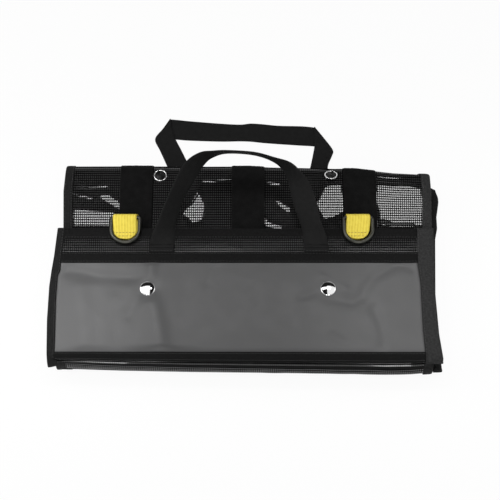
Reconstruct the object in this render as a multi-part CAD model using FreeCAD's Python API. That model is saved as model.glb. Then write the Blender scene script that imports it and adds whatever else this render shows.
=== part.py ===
"""Folding mesh carry bag: three bound panels that fold like a letter, lying on its back.

+X runs across the bag, +Y towards its top, +Z up through its thickness. Millimetres.
The bag is laid out from its bottom crease (BOTTOM_Y) and its top crease (TOP_Y).
"""
import FreeCAD, Part
import math
import os

from FreeCAD import Vector

# ---------------------------------------------------------------- driving dimensions

# sheets, tapes and clearances
SHEET = 0.8                 # reinforced vinyl mesh, and the grey vinyl of the pocket
TAPE = 1.2                  # webbing, binding tape and hook tape
LOOP = 1.6                  # loop tape with its pile
GAP = 0.3                   # running clearance between pieces that move apart
PLAY = 0.1                  # clearance round a rivet post in its punched hole

# panels
BAG_WIDTH = 384.0           # back and front panels
FLAP_NARROWER = 6.0         # how much narrower the short top flap is
SPINE_NARROWER = 16.0
BACK_SHIFT = 4.5            # how far each folded layer lies off the middle of the bag
FRONT_SHIFT = -4.5
FLAP_SHIFT = -1.0
SPINE_SHIFT = -4.0
BACK_HEIGHT = 196.0         # bottom crease to top crease
FRONT_DROP = 65.0           # top crease to the front panel's free edge
FLAP_LENGTH = 94.0          # flat part of the top flap below its crease
TOP_RADIUS = 14.7           # middle of the sheet round the top crease
SEAM_ANGLE = 50.0           # upper seams, round each crease from its top
SPINE_ANGLE = 130.0         # lower seam of the spine

# bindings
BACK_BINDING = 9.5
FLAP_BINDING = 9.5
SPINE_BINDING = 9.5
FRONT_BINDING_LEFT = 7.5
FRONT_BINDING_RIGHT = 15.0
FRONT_TOP_BINDING = 10.7
FLAP_EDGE_BINDING = 9.5

# front pocket
POCKET_DROP = 27.3          # free edge of the front panel to the pocket's sewn mouth
MOUTH_TAPE = 11.6
BOTTOM_TAPE_ANGLE = 33.0    # how far the lower tape runs down round the crease
BOTTOM_TAPE_RISE = 1.5      # and how far it stands above the crease

# hook and loop
LOOP_WIDTH = 34.0
LOOP_INSET = 74.0           # side of the flap to the middle of the outer strips
LOOP_WRAP_ANGLE = 110.0     # the loop strips run this far over the top crease

# snaps
CAP_RADIUS = 8.0
CAP_HEIGHT = 3.0
CAP_RIM = 0.9
DOME_STEPS = 3              # bevels from the crown of a cap to its rim
CAP_INSET = 90.45           # side binding of the front panel to the middle of a cap, were the two centred
CAP_SHIFT = -2.9            # middle of the two caps from the middle of the pocket
CAP_DROP = 40.2             # pocket mouth to the middle of the caps
POST_RADIUS = 2.6
STUD_RADIUS = 6.5
STUD_FLANGE = 1.0
SOCKET_RADIUS = 6.8
SOCKET_HEIGHT = 2.4
SOCKET_RECESS = 4.6
SOCKET_FLOOR = 0.7
SOCKET_GAP_LEFT = 0.5       # between each socket and the loop strip beside it
SOCKET_GAP_RIGHT = 5.5
SOCKET_DROP = 3.0           # below the top crease
EYELET_RADIUS = 4.4
EYELET_FLANGE = 0.8

# ring tabs and D-rings
TAB_WIDTH = 24.0
TAB_INSET = 62.55           # side binding of the front panel to the middle of a tab, were the two centred
TAB_SHIFT = 1.0             # middle of the two tabs from the middle of the pocket
TAB_OVERLAP = 13.3          # sewn length below the front panel's free edge
TAB_REACH = 10.6            # free edge to the ring's bar
TAB_CORNER = 10.5
RING_WIRE = 3.8             # across two flats of the wire
WIRE_SIDE_COUNT = 8
RING_INNER_WIDTH = 25.0
RING_DROP = 27.7            # bar to the wire's middle at the bottom of the D
RING_CORNER = 3.0
BOW_STEPS = 18              # straight runs round the bow of the D
CORNER_STEPS = 3

# handles
WEBBING = 25.0
HANDLE_INSET = 103.45       # side binding of the front panel to the middle of a leg
HANDLE_SEAM = 8.3           # sewn length of each front leg
HANDLE_RISE = 95.5
HANDLE_TILT = 25.0          # how far the free loop stands up from the panel
HANDLE_FLAT = 0.25          # share of each side before the webbing starts to turn on edge
REAR_INSET = 116.5          # side of the back to the middle of a leg, were it centred
REAR_SHIFT = -6.2           # middle of the rear handle from the middle of the back
REAR_SEAM = 24.0            # sewn length below the top crease
REAR_REACH = 78.7           # top crease to the far edge of the folded grip
REAR_LEAN = 12.5            # outward lean of the legs, degrees
STEPS = 20                  # runs of webbing along the front handle's loop

# ---------------------------------------------------------------- derived positions

TAPE_EDGE = SHEET / 2 + TAPE                     # middle of a sheet to the face of its binding
BACK_Z = TAPE_EDGE
FLAP_Z = BACK_Z + 2 * TOP_RADIUS
FRONT_Z = FLAP_Z + SHEET / 2 + LOOP + GAP + TAPE + SHEET / 2
BOTTOM_RADIUS = (FRONT_Z - BACK_Z) / 2
FOOTPRINT = BOTTOM_RADIUS + TAPE_EDGE + BACK_HEIGHT + REAR_REACH
BOTTOM_Y = -FOOTPRINT / 2 + BOTTOM_RADIUS + TAPE_EDGE
TOP_Y = BOTTOM_Y + BACK_HEIGHT
FRONT_HEIGHT = BACK_HEIGHT - FRONT_DROP          # flat part of the front panel above its crease
FRONT_TOP_Y = BOTTOM_Y + FRONT_HEIGHT
POCKET_TOP = FRONT_HEIGHT - POCKET_DROP
CAP_Y = BOTTOM_Y + POCKET_TOP - CAP_DROP
FRONT_FACE = FRONT_Z + SHEET / 2                 # outer face of the front mesh
POCKET_FACE = FRONT_FACE + SHEET
BINDING_FACE = FRONT_Z + TAPE_EDGE


def sides(shift, width):
    """Left and right edges of a panel."""
    return shift - width / 2, shift + width / 2


BACK_X = sides(BACK_SHIFT, BAG_WIDTH)
FRONT_X = sides(FRONT_SHIFT, BAG_WIDTH)
FLAP_X = sides(FLAP_SHIFT, BAG_WIDTH - FLAP_NARROWER)
SPINE_X = sides(SPINE_SHIFT, BAG_WIDTH - SPINE_NARROWER)
FRONT_INNER = (FRONT_X[0] + FRONT_BINDING_LEFT, FRONT_X[1] - FRONT_BINDING_RIGHT)
FRONT_MIDDLE = sum(FRONT_INNER) / 2              # the fittings are set out from here
CAP_MIDDLE = FRONT_MIDDLE + CAP_SHIFT
TAB_MIDDLE = FRONT_MIDDLE + TAB_SHIFT
SOCKET_MIDDLE = FLAP_SHIFT + (SOCKET_GAP_LEFT - SOCKET_GAP_RIGHT) / 2
REAR_MIDDLE = BACK_SHIFT + REAR_SHIFT

FRONT_HALF = (FRONT_INNER[1] - FRONT_INNER[0]) / 2
TAB_SPACING = FRONT_HALF - TAB_INSET             # spacings run from the middle to one side
CAP_SPACING = FRONT_HALF - CAP_INSET
HANDLE_SPACING = FRONT_HALF - HANDLE_INSET
LOOP_SPACING = (FLAP_X[1] - FLAP_X[0]) / 2 - LOOP_INSET
SOCKET_SPACING = LOOP_SPACING - LOOP_WIDTH / 2 - (SOCKET_GAP_LEFT + SOCKET_GAP_RIGHT) / 2 - SOCKET_RADIUS
REAR_SPACING = BAG_WIDTH / 2 - REAR_INSET

WIRE_RADIUS = RING_WIRE / 2 / math.cos(math.pi / WIRE_SIDE_COUNT)
RING_Z = BINDING_FACE + GAP + WIRE_RADIUS
RING_Y = FRONT_TOP_Y + TAB_REACH
HANDLE_Y = BOTTOM_Y + POCKET_TOP + HANDLE_SEAM - TAPE / 2
HANDLE_Z = FRONT_FACE + TAPE + GAP + TAPE / 2
REAR_HINGE_Y = TOP_Y + TOP_RADIUS + SHEET / 2 + LOOP + 2 * GAP

os.makedirs("parts", exist_ok=True)


# ---------------------------------------------------------------- building blocks

def save(name, shape):
    """Write one node."""
    shape.exportStep("parts/" + name + ".step")


def block(x, y, z):
    """Box between pairs of limits."""
    return Part.makeBox(x[1] - x[0], y[1] - y[0], z[1] - z[0], Vector(x[0], y[0], z[0]))


def prism(points, z):
    """Flat outline raised between two heights."""
    corners = [Vector(x, y, z[0]) for x, y in points]
    outline = Part.makePolygon(corners + corners[:1])
    return Part.Face(outline).extrude(Vector(0, 0, z[1] - z[0]))


def turned(profile, x, y):
    """Solid of revolution about a vertical line, from (radius, height) points."""
    points = [Vector(r, 0, z) for r, z in profile]
    face = Part.Face(Part.makePolygon(points + points[:1]))
    solid = face.revolve(Vector(0, 0, 0), Vector(0, 0, 1), 360)
    solid.translate(Vector(x, y, 0))
    return solid


def flat_faced_loft(sections, closed):
    """Solid through alike sections, with two triangles on each side of each run."""
    faces = []
    following = sections[1:] + sections[:1] if closed else sections[1:]
    for near, far in zip(sections, following):
        for a, b, c, d in zip(near, near[1:] + near[:1], far[1:] + far[:1], far):
            faces.append(Part.Face(Part.makePolygon([a, b, c, a])))
            faces.append(Part.Face(Part.makePolygon([a, c, d, a])))
    if not closed:
        faces += [Part.Face(Part.makePolygon(end + end[:1])) for end in (sections[0], sections[-1])]
    return Part.Solid(Part.Shell(faces))


class Crease:
    """Half-round fold about an X line; offsets are counted outwards from the sheet's middle."""

    def __init__(self, y, z, radius, side):
        self.y = y
        self.z = z
        self.radius = radius
        self.side = side

    def point(self, angle, offset, x=0.0):
        """Point at an angle from the top of the fold."""
        reach = self.radius + offset
        turn = math.radians(angle)
        return Vector(x, self.y + self.side * reach * math.sin(turn), self.z + reach * math.cos(turn))

    def arc(self, x, offsets, angles):
        """Part of the fold between two angles."""
        low, high = offsets
        first, last = angles
        middle = (first + last) / 2
        outer = Part.Arc(self.point(first, high, x[0]), self.point(middle, high, x[0]),
                         self.point(last, high, x[0])).toShape()
        inner = Part.Arc(self.point(last, low, x[0]), self.point(middle, low, x[0]),
                         self.point(first, low, x[0])).toShape()
        end = Part.makeLine(self.point(last, high, x[0]), self.point(last, low, x[0]))
        start = Part.makeLine(self.point(first, low, x[0]), self.point(first, high, x[0]))
        return Part.Face(Part.Wire([outer, end, inner, start])).extrude(Vector(x[1] - x[0], 0, 0))

    def upper(self, x, offsets, reach):
        """Flat run above the fold, from a distance inside the crease to a distance along it."""
        z = self.z + self.radius
        y = sorted(self.y - self.side * run for run in reach)
        return block(x, y, (z + offsets[0], z + offsets[1]))

    def lower(self, x, offsets, reach):
        """Flat run below the fold."""
        z = self.z - self.radius
        y = sorted(self.y - self.side * run for run in reach)
        return block(x, y, (z - offsets[1], z - offsets[0]))

    def half_gap(self):
        """Angle that half of the running clearance takes at a seam."""
        return math.degrees(GAP / 2 / self.radius)


BOTTOM = Crease(BOTTOM_Y, (BACK_Z + FRONT_Z) / 2, BOTTOM_RADIUS, -1)
TOP = Crease(TOP_Y, (BACK_Z + FLAP_Z) / 2, TOP_RADIUS, 1)
MESH = (-SHEET / 2, SHEET / 2)
BOUND = (-TAPE_EDGE, TAPE_EDGE)


def joined(*pieces):
    """One clean solid from touching runs."""
    return pieces[0].fuse(list(pieces[1:])).removeSplitter()


def back_run(x, offsets):
    """Back panel with the lip that turns up to the spine."""
    lip = BOTTOM.arc(x, offsets, (SPINE_ANGLE + BOTTOM.half_gap(), 180))
    return joined(BOTTOM.lower(x, offsets, (0, BACK_HEIGHT)), lip)


def top_fold_run(x, offsets):
    """Half-round fold between the back and the top flap."""
    return TOP.arc(x, offsets, (SEAM_ANGLE + TOP.half_gap(), 180))


def top_flap_run(x, offsets):
    """Top flap, from its seam over the crease and down to its free edge."""
    lip = TOP.arc(x, offsets, (0, SEAM_ANGLE - TOP.half_gap()))
    return joined(TOP.upper(x, offsets, (0, FLAP_LENGTH)), lip)


def spine_run(x, offsets):
    """Spine strip between the back's lip and the front panel."""
    gap = BOTTOM.half_gap()
    return BOTTOM.arc(x, offsets, (SEAM_ANGLE + gap, SPINE_ANGLE - gap))


def front_run(x, offsets):
    """Front panel, from its seam over the crease and up to its free edge."""
    lip = BOTTOM.arc(x, offsets, (0, SEAM_ANGLE - BOTTOM.half_gap()))
    return joined(BOTTOM.upper(x, offsets, (0, FRONT_HEIGHT)), lip)


def inset(x):
    """Edges of a sheet inside the folded tape of its bindings."""
    return x[0] + TAPE, x[1] - TAPE


def bound_edges(run, x, widths):
    """Tapes folded over a panel's left and right edges."""
    sheet = run(inset(x), MESH)
    left = run((x[0], x[0] + widths[0]), BOUND).cut(sheet)
    right = run((x[1] - widths[1], x[1]), BOUND).cut(sheet)
    return left, right


def post_hole(x, y):
    """Punched hole for a rivet post, through the upper layers."""
    return Part.makeCylinder(POST_RADIUS + PLAY, FRONT_Z, Vector(x, y, FLAP_Z / 2))


def pair(name, make, middle, spacing):
    """The same piece left and right of a middle line."""
    for side, word in ((-1, "left"), (1, "right")):
        save(name + "_" + word, make(middle + side * spacing))


# ---------------------------------------------------------------- back and top fold

def make_back():
    save("back_panel", back_run(inset(BACK_X), MESH))
    left, right = bound_edges(back_run, BACK_X, (BACK_BINDING, BACK_BINDING))
    save("back_binding_left", left)
    save("back_binding_right", right)


def make_top_fold():
    save("top_fold", top_fold_run(inset(BACK_X), MESH))
    left, right = bound_edges(top_fold_run, BACK_X, (BACK_BINDING, BACK_BINDING))
    save("top_fold_binding_left", left)
    save("top_fold_binding_right", right)


def rear_handle_end(x):
    """Sewn end of the rear handle, flat under the back and out past the top fold."""
    return block((x - WEBBING / 2, x + WEBBING / 2), (TOP_Y - REAR_SEAM, REAR_HINGE_Y - GAP / 2), (0, TAPE))


# ---------------------------------------------------------------- hook and loop

def loop_positions():
    """Left, middle and right strips."""
    for step, word in ((-1, "left"), (0, "middle"), (1, "right")):
        x = FLAP_SHIFT + step * LOOP_SPACING
        yield word, (x - LOOP_WIDTH / 2, x + LOOP_WIDTH / 2)


def make_hook_and_loop():
    pile = (SHEET / 2, SHEET / 2 + LOOP)
    hooks = (-SHEET / 2 - TAPE, -SHEET / 2)
    hook_low = FRONT_HEIGHT - FRONT_TOP_BINDING - POCKET_TOP
    gap = TOP.half_gap()
    for word, x in loop_positions():
        lip = TOP.arc(x, pile, (0, SEAM_ANGLE - gap))
        save("loop_strip_" + word, joined(TOP.upper(x, pile, (0, FLAP_LENGTH - FLAP_EDGE_BINDING)), lip))
        save("loop_wrap_" + word, TOP.arc(x, pile, (SEAM_ANGLE + gap, LOOP_WRAP_ANGLE)))
        save("hook_strip_" + word, BOTTOM.upper(x, hooks, (POCKET_TOP, POCKET_TOP + hook_low)))


# ---------------------------------------------------------------- top flap

def make_top_flap():
    y = TOP_Y - SOCKET_DROP
    edge = (FLAP_LENGTH - FLAP_EDGE_BINDING, FLAP_LENGTH)
    short = top_flap_run(inset(FLAP_X), MESH).cut(TOP.upper(FLAP_X, BOUND, (FLAP_LENGTH - TAPE, FLAP_LENGTH)))
    for side in (-1, 1):
        short = short.cut(post_hole(SOCKET_MIDDLE + side * SOCKET_SPACING, y))
    save("top_flap_panel", short)
    left, right = bound_edges(top_flap_run, FLAP_X, (FLAP_BINDING, FLAP_BINDING))
    save("top_flap_binding_left", left)
    save("top_flap_binding_right", right)
    inner = (FLAP_X[0] + FLAP_BINDING, FLAP_X[1] - FLAP_BINDING)
    save("top_flap_edge_binding", TOP.upper(inner, BOUND, edge).cut(short))
    pair("flap_snap", lambda x: flap_snap(x, y), SOCKET_MIDDLE, SOCKET_SPACING)


def flap_snap(x, y):
    """Snap socket riveted through the flap: sloping rim, recess, post and eyelet."""
    base = FLAP_Z + SHEET / 2
    under = FLAP_Z - SHEET / 2
    profile = [
        (0, under - EYELET_FLANGE), (EYELET_RADIUS, under - EYELET_FLANGE), (EYELET_RADIUS, under),
        (POST_RADIUS, under), (POST_RADIUS, base), (SOCKET_RADIUS, base),
        (SOCKET_RADIUS, base + SOCKET_HEIGHT / 2), (SOCKET_RECESS, base + SOCKET_HEIGHT),
        (SOCKET_RECESS, base + SOCKET_FLOOR), (0, base + SOCKET_FLOOR),
    ]
    return turned(profile, x, y)


# ---------------------------------------------------------------- spine

def make_spine():
    save("bottom_spine", spine_run(inset(SPINE_X), MESH))
    left, right = bound_edges(spine_run, SPINE_X, (SPINE_BINDING, SPINE_BINDING))
    save("spine_binding_left", left)
    save("spine_binding_right", right)


# ---------------------------------------------------------------- front panel and pocket

def make_front():
    holes = [post_hole(CAP_MIDDLE + side * CAP_SPACING, CAP_Y) for side in (-1, 1)]
    edge_strip = BOTTOM.upper(FRONT_X, BOUND, (FRONT_HEIGHT - TAPE, FRONT_HEIGHT))
    mesh = front_run(inset(FRONT_X), MESH).cut(edge_strip)
    save("front_panel", mesh.cut(holes))
    left, right = bound_edges(front_run, FRONT_X, (FRONT_BINDING_LEFT, FRONT_BINDING_RIGHT))
    save("front_binding_left", left)
    save("front_binding_right", right)
    edge = BOTTOM.upper(FRONT_INNER, BOUND, (FRONT_HEIGHT - FRONT_TOP_BINDING, FRONT_HEIGHT))
    save("front_top_binding", edge.cut(mesh))

    vinyl = (SHEET / 2, SHEET / 2 + SHEET)
    tape = (SHEET / 2 + SHEET, SHEET / 2 + SHEET + TAPE)
    sheet = joined(BOTTOM.upper(FRONT_INNER, vinyl, (0, POCKET_TOP)),
                   BOTTOM.arc(FRONT_INNER, vinyl, (0, BOTTOM_TAPE_ANGLE)))
    save("front_pocket", sheet.cut(holes))
    save("pocket_mouth_tape", BOTTOM.upper(FRONT_INNER, tape, (POCKET_TOP - MOUTH_TAPE, POCKET_TOP)))
    save("pocket_bottom_tape", joined(BOTTOM.upper(FRONT_INNER, tape, (0, BOTTOM_TAPE_RISE)),
                                      BOTTOM.arc(FRONT_INNER, tape, (0, BOTTOM_TAPE_ANGLE))))
    pair("snap_cap", lambda x: snap_cap(x, CAP_Y), CAP_MIDDLE, CAP_SPACING)
    pair("snap_stud", lambda x: snap_stud(x, CAP_Y), CAP_MIDDLE, CAP_SPACING)


def snap_cap(x, y):
    """Domed cap on the pocket, with the post that goes through both sheets."""
    rise = CAP_HEIGHT - CAP_RIM
    sphere = (CAP_RADIUS ** 2 + rise ** 2) / 2 / rise
    centre = POCKET_FACE + CAP_HEIGHT - sphere
    spread = math.asin(CAP_RADIUS / sphere)
    turns = [spread * step / DOME_STEPS for step in range(DOME_STEPS + 1)]
    dome = [(sphere * math.sin(turn), centre + sphere * math.cos(turn)) for turn in turns]
    low = FRONT_Z - SHEET / 2
    foot = [(CAP_RADIUS, POCKET_FACE), (POST_RADIUS, POCKET_FACE), (POST_RADIUS, low), (0, low)]
    return turned(dome + foot, x, y)


def snap_stud(x, y):
    """Bevelled plate that closes the snap on the inside of the front panel."""
    face = FRONT_Z - SHEET / 2
    profile = [(0, face), (STUD_RADIUS, face), (POST_RADIUS, face - STUD_FLANGE), (0, face - STUD_FLANGE)]
    return turned(profile, x, y)


# ---------------------------------------------------------------- ring tabs and D-rings

def ring_tab(x):
    """Webbing folded round the ring's bar, sewn down with rounded corners."""
    half = TAB_WIDTH / 2
    low = FRONT_TOP_Y - TAB_OVERLAP
    bore = WIRE_RADIUS + GAP
    eye = bore + TAPE
    layers = block((x - half, x + half), (low, RING_Y), (BINDING_FACE, BINDING_FACE + 2 * TAPE))
    barrel = Part.makeCylinder(eye, TAB_WIDTH, Vector(x - half, RING_Y, RING_Z), Vector(1, 0, 0))
    hole = Part.makeCylinder(bore, TAB_WIDTH, Vector(x - half, RING_Y, RING_Z), Vector(1, 0, 0))
    tab = layers.fuse(barrel).cut(hole)
    corners = [edge for edge in tab.Edges if is_tab_corner(edge, low)]
    return tab.makeFillet(TAB_CORNER, corners)


def is_tab_corner(edge, low):
    """Upright edge at the sewn end of a tab."""
    return all(abs(end.Point.y - low) < PLAY for end in edge.Vertexes) and edge.BoundBox.ZLength > TAPE


def d_bends(x):
    """Bends of the ring's middle line: centre, radius, first angle, turn and number of runs."""
    half = (RING_INNER_WIDTH + RING_WIRE) / 2
    shoulder = half - RING_CORNER
    yield Vector(x + shoulder, RING_Y - RING_CORNER, RING_Z), RING_CORNER, 0, 90, CORNER_STEPS
    yield Vector(x - shoulder, RING_Y - RING_CORNER, RING_Z), RING_CORNER, 90, 90, CORNER_STEPS
    yield Vector(x, RING_Y - RING_DROP + half, RING_Z), half, 180, 180, BOW_STEPS


def wire_section(spot, outward):
    """Cross-section of the ring's wire, with its flats up, down, in and out."""
    up = Vector(0, 0, 1)
    angles = [math.tau * (flat + 0.5) / WIRE_SIDE_COUNT for flat in range(WIRE_SIDE_COUNT)]
    return [spot + (outward * math.cos(angle) + up * math.sin(angle)) * WIRE_RADIUS for angle in angles]


def d_ring(x):
    """Closed D of wire, lying round its tab."""
    sections = []
    for centre, radius, first, turn, runs in d_bends(x):
        for run in range(runs + 1):
            angle = math.radians(first + turn * run / runs)
            outward = Vector(math.cos(angle), math.sin(angle), 0)
            sections.append(wire_section(centre + outward * radius, outward))
    return flat_faced_loft(sections, True)


# ---------------------------------------------------------------- handles

def front_handle_end(x):
    """Sewn end of the front handle, flat on the front mesh."""
    low = BOTTOM_Y + POCKET_TOP
    return block((x - WEBBING / 2, x + WEBBING / 2), (low, low + HANDLE_SEAM), (FRONT_FACE, FRONT_FACE + TAPE))


def handle_arch():
    """Middle line of the free loop in its own plane: half spans and rises."""
    shape = ((1, 0), (0.85, 0.44), (0.69, 0.73), (0.50, 0.92), (0.26, 0.99), (0, 1))
    left = [(-across * HANDLE_SPACING, rise * HANDLE_RISE) for across, rise in shape]
    right = [(-across, rise) for across, rise in reversed(left[:-1])]
    curve = Part.BSplineCurve()
    curve.interpolate(Points=[Vector(across, rise, 0) for across, rise in left + right],
                      InitialTangent=Vector(0, 1, 0), FinalTangent=Vector(0, -1, 0))
    return curve


def handle_section(curve, fraction):
    """Webbing cross-section, flat at the sewn ends and on edge at the top of the loop."""
    place = curve.FirstParameter + (curve.LastParameter - curve.FirstParameter) * fraction
    spot = curve.value(place)
    way = curve.tangent(place)[0]
    climb = min(fraction, 1 - fraction) * 2
    ease = max(0.0, (climb - HANDLE_FLAT) / (1 - HANDLE_FLAT))
    twist = math.pi / 2 * ease * ease * (3 - 2 * ease)
    tilt = math.radians(HANDLE_TILT)
    across = Vector(1, 0, 0)
    up = Vector(0, math.cos(tilt), math.sin(tilt))
    out = across.cross(up)
    along = across * way.x + up * way.y
    inward = across * way.y - up * way.x
    half_width = (inward * math.cos(twist) - out * math.sin(twist)) * (WEBBING / 2)
    half_thick = along.cross(half_width).normalize() * (TAPE / 2)
    centre = Vector(FRONT_MIDDLE + spot.x, HANDLE_Y, HANDLE_Z) + up * spot.y
    corners = [centre - half_width - half_thick, centre + half_width - half_thick,
               centre + half_width + half_thick, centre - half_width + half_thick]
    return corners


def front_handle():
    """Free loop of the front handle, with a rounded knuckle at each sewn end."""
    curve = handle_arch()
    sections = [handle_section(curve, step / STEPS) for step in range(STEPS + 1)]
    loop = flat_faced_loft(sections, False)
    knuckles = []
    for side in (-1, 1):
        start = Vector(FRONT_MIDDLE + side * HANDLE_SPACING - WEBBING / 2, HANDLE_Y, HANDLE_Z)
        knuckles.append(Part.makeCylinder(TAPE / 2, WEBBING, start, Vector(1, 0, 0)))
    return joined(loop, *knuckles)


def rear_handle():
    """Free loop of the rear handle, pressed flat: two leaning legs and a folded grip."""
    lean = math.radians(REAR_LEAN)
    fold = (math.pi / 2 + lean) / 2
    fold_run = WEBBING / math.tan(fold)
    far_y = TOP_Y + REAR_REACH
    near_y = far_y - WEBBING
    rise = (far_y + near_y) / 2 - REAR_HINGE_Y
    fold_middle = REAR_SPACING + rise * math.tan(lean)
    far_x = fold_middle - fold_run / 2
    near_x = fold_middle + fold_run / 2
    grip = [(-far_x, far_y), (far_x, far_y), (near_x, near_y), (-near_x, near_y)]
    base_y = REAR_HINGE_Y + GAP / 2
    half_base = WEBBING / 2 / math.cos(lean)
    slope = math.tan(lean)
    outer_base = near_x - (near_y - base_y) * slope
    inner_base = far_x - (far_y - base_y) * slope
    pieces = [prism([(REAR_MIDDLE + x, y) for x, y in grip], (TAPE, 2 * TAPE))]
    for side in (-1, 1):
        leg = [(side * far_x, far_y), (side * near_x, near_y), (side * outer_base, base_y),
               (side * inner_base, base_y)]
        pieces.append(prism([(REAR_MIDDLE + x, y) for x, y in leg], (0, TAPE)))
    return joined(*pieces)


def main():
    make_back()
    make_top_fold()
    make_hook_and_loop()
    make_top_flap()
    make_spine()
    make_front()
    pair("ring_tab", ring_tab, TAB_MIDDLE, TAB_SPACING)
    pair("d_ring", d_ring, TAB_MIDDLE, TAB_SPACING)
    pair("front_handle_end", front_handle_end, FRONT_MIDDLE, HANDLE_SPACING)
    pair("rear_handle_end", rear_handle_end, REAR_MIDDLE, REAR_SPACING)
    save("front_handle", front_handle())
    save("rear_handle", rear_handle())


main()
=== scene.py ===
import math

import bpy
from mathutils import Matrix, Vector, noise


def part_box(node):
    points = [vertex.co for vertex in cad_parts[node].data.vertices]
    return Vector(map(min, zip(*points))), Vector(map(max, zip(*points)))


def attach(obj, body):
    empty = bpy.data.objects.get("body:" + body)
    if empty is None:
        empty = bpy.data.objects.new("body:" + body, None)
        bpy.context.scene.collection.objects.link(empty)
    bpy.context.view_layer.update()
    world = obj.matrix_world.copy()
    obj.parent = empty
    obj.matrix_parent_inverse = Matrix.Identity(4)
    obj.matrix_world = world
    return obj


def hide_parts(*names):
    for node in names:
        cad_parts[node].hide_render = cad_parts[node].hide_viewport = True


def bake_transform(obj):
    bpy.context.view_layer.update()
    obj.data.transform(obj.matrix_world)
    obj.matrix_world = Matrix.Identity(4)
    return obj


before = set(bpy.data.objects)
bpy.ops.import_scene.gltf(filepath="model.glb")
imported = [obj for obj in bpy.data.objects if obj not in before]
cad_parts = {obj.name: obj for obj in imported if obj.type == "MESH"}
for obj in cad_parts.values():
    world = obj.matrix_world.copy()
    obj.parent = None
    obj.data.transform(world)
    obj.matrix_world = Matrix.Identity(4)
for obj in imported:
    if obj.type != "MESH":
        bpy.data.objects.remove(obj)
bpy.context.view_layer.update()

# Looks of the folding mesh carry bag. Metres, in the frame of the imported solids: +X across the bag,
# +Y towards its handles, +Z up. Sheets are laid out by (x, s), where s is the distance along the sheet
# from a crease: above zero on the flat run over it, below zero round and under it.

MM = 0.001

# ---- sizes of the pieces

SHEET = 0.8 * MM
TAPE = 1.2 * MM
LOOP = 1.6 * MM
HALF_BINDING = SHEET / 2 + TAPE
WIRE = 1.9 * MM                 # radius of a ring's wire
POST = 2.6 * MM                 # radius of a rivet's post
AXIS = 0.1 * MM                 # radius of the flat spot on a turned piece's axis
STITCH = 2.3 * MM
STITCH_GAP = 0.8 * MM
THREAD_SIDES = 6
SEWN_IN = 1.5 * MM              # from the edge of a tape to its stitches
SUNK = 0.3 * MM                 # how deep a tape is pressed into the vinyl under it
SIDES = ("left", "right")


def middle(node):
    """Middle of a solid's box."""
    low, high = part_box(node)
    return (low + high) / 2


def foot(node):
    """Middle of a solid's underside."""
    low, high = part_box(node)
    return Vector(((low.x + high.x) / 2, (low.y + high.y) / 2, low.z))


def width_of(node):
    """Width of a solid across the bag."""
    low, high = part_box(node)
    return high.x - low.x


BACK_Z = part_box("back_panel")[0].z + SHEET / 2
FRONT_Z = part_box("front_panel")[1].z - SHEET / 2
FLAP_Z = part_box("top_flap_panel")[1].z - SHEET / 2
HEM_LOW, HEM_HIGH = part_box("front_top_binding")
MOUTH_LOW, MOUTH_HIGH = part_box("pocket_mouth_tape")
POCKET_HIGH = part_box("front_pocket")[1]
RING_BAR_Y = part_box("d_ring_left")[1].y - WIRE
RING_Z = middle("d_ring_left").z
HANDLE_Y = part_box("front_handle_end_left")[1].y - 0.6 * MM
HANDLE_Z = FRONT_Z + SHEET / 2 + TAPE + 0.9 * MM
FRONT_MIDDLE = middle("front_pocket").x
WEBBING = width_of("front_handle_end_left")

# ---- creases

# how far each crease is pressed in, as a share of its radius, along x in millimetres
BOTTOM_PRESS = ((-200, 0.10), (-193, 0.20), (-186, 0.30), (-125, 0.12), (-60, 0.0), (0, -0.06), (60, -0.13),
                (100, -0.16), (135, -0.21), (160, -0.18), (175, -0.10), (190, -0.04))
TOP_PRESS = ((-190, 0.16), (-115, 0.14), (-60, 0.18), (0, 0.16), (24, 0.30), (55, 0.38), (88, 0.52),
             (97, 0.50), (131, 0.58), (150, 0.66), (185, 0.78))
# how far each crease lies off its line, in millimetres, and how far along the sheet that fades out
BOTTOM_SLIDE = ((0, 0.0),)
TOP_SLIDE = ((110, 0.0), (131, -2.4), (150, -4.2), (190, -5.5))
SLIDE_REACH = 60 * MM
# places round the creases, in degrees from the top: seams and half the width of their strips, ridge of the
# spine's seam, foot of the pocket, top of its bottom tape, ends of the loop strips, and ends of the corners
SEAM_ANGLE = 50.0
SPINE_ANGLE = 130.0
SEAM_REACH = 7.0
RIDGE_ANGLES = (64, 57.5)
POCKET_ANGLE = 42
BOTTOM_TAPE_ANGLE = 13
WRAP_ANGLE = 110
CORNER_TOP_ANGLE = 44
CORNER_ANGLES = {"left": 74, "right": 50}
CORNER_BEND_ANGLES = (57, 46)


def ease(value):
    """Smooth step from 0 to 1."""
    t = min(1.0, max(0.0, value))
    return t * t * (3 - 2 * t)


def on_line(points, value):
    """Reading at a value along a line through (value, reading) points, in millimetres."""
    value = value / MM
    if value <= points[0][0]:
        return points[0][1] * MM
    for (a, low), (b, high) in zip(points, points[1:]):
        if value <= b:
            return (low + (high - low) * (value - a) / (b - a)) * MM
    return points[-1][1] * MM


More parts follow.
